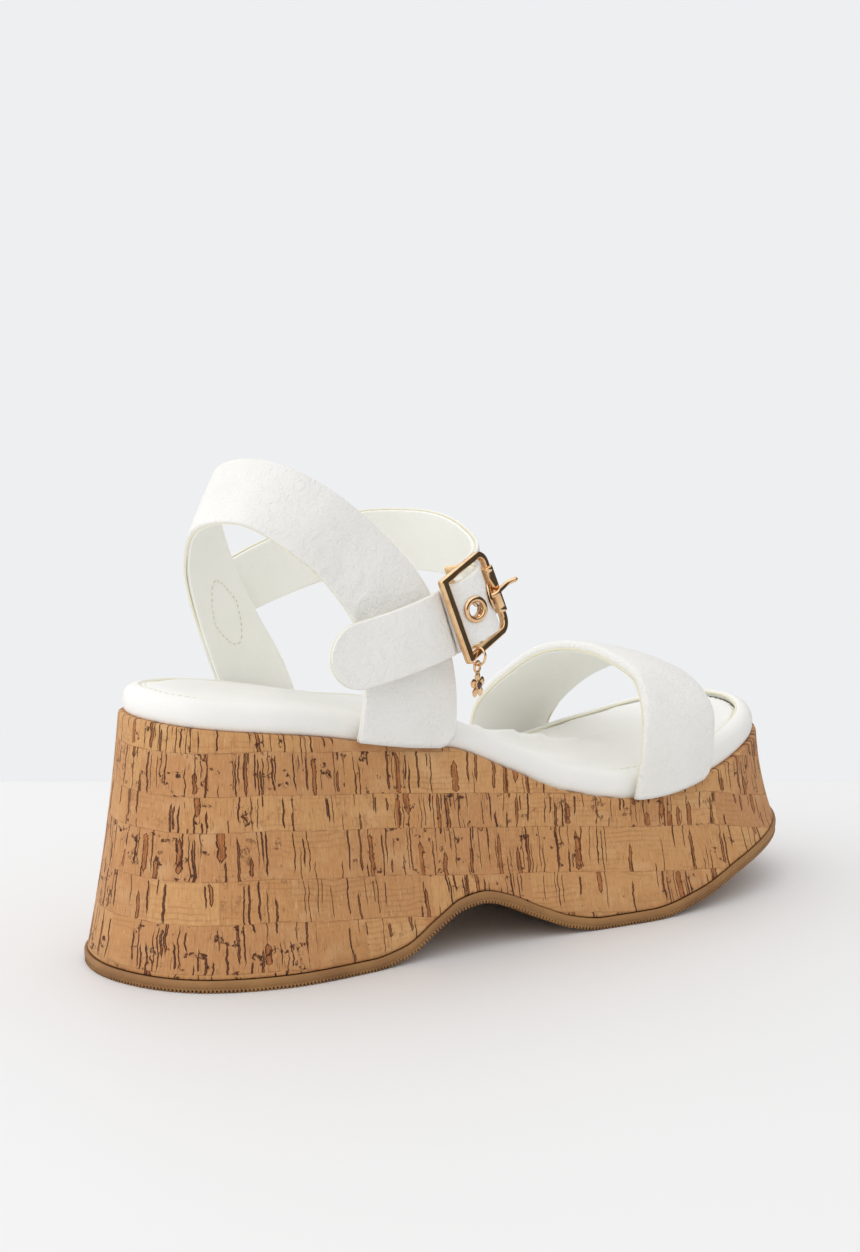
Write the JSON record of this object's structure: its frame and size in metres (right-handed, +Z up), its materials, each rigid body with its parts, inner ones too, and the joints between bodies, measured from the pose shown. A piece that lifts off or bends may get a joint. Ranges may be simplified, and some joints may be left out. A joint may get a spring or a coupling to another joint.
{
  "type": "wedge sandal",
  "caption": "Women's cork-wrapped wedge sandal, right foot, with a padded vamp strap, a strap round the heel and a buckled ankle strap with a flower charm.",
  "frame": {"origin": "middle of the sandal's box, on the floor", "axes": "+X from heel to toe, +Y to the inner (medial) side of the foot, +Z up"},
  "size_m": [0.2698, 0.0958, 0.1593],
  "materials": {
    "white_leather": "warm white grained leather, semi-matt",
    "ivory_lining": "pale ivory smooth lining, matt",
    "cork": "block cork sheet with dark growth streaks, matt",
    "tan_rubber": "tan moulded rubber, matt",
    "platform_foam": "dense moulded EVA foam",
    "footbed_foam": "soft cut foam",
    "fibreboard": "pressed fibreboard, matt",
    "rose_gold": "polished rose-gold plating on zinc",
    "dark_stone": "dark brown faceted glass"
  },
  "bodies": {
    "shoe": {"outsole": "tan_rubber", "cork_wrap": "cork", "platform_core": "platform_foam", "insole_board": "fibreboard", "footbed_foam": "footbed_foam", "footbed_rim": "white_leather", "sock_cover": "white_leather", "vamp_strap_outer": "white_leather", "vamp_strap_padding": "footbed_foam", "vamp_strap_lining": "ivory_lining", "heel_strap_outer": "white_leather", "heel_strap_lining": "ivory_lining", "ankle_strap_outer": "white_leather", "ankle_strap_lining": "ivory_lining", "eyelet_1": "rose_gold", "eyelet_2": "rose_gold", "eyelet_3": "rose_gold", "eyelet_4": "rose_gold", "eyelet_5": "rose_gold", "buckle_tab": "white_leather"},
    "buckle": {"buckle_frame": "rose_gold"},
    "roller": {"buckle_roller": "rose_gold"},
    "prong": {"buckle_prong": "rose_gold"},
    "strap_tail": {"strap_tail_outer": "white_leather", "strap_tail_lining": "ivory_lining"},
    "ring": {"charm_ring": "rose_gold"},
    "charm": {"flower_charm": "rose_gold", "flower_stone": "dark_stone"}
  },
  "joints": [
    {"name": "buckle_rock", "type": "hinge", "parent": "shoe", "child": "buckle", "pos_m": [-0.02242, -0.03238, 0.10996], "axis": [-0.3365, 0.0781, 0.9384], "range_deg": [-1.5, 1.5]},
    {"name": "roller_turn", "type": "hinge", "parent": "buckle", "child": "roller", "pos_m": [-0.00978, -0.03277, 0.11453], "axis": [-0.3365, 0.0781, 0.9384], "continuous": true},
    {"name": "prong_lift", "type": "hinge", "parent": "buckle", "child": "prong", "pos_m": [-0.02242, -0.03238, 0.10996], "axis": [0.3365, -0.0781, -0.9384], "range_deg": [0, 4]},
    {"name": "tail_flex", "type": "hinge", "parent": "shoe", "child": "strap_tail", "pos_m": [-0.03229, -0.03932, 0.107], "axis": [-0.3365, 0.0781, 0.9384], "range_deg": [-1, 20]},
    {"name": "ring_swing", "type": "hinge", "parent": "buckle", "child": "ring", "pos_m": [-0.02252, -0.04154, 0.09662], "axis": [-0.8751, -0.394, -0.281], "range_deg": [-12, 45]},
    {"name": "charm_swing", "type": "hinge", "parent": "ring", "child": "charm", "pos_m": [-0.02252, -0.04154, 0.09267], "axis": [0.4106, -0.9118, 0], "range_deg": [-30, 30]}
  ]
}
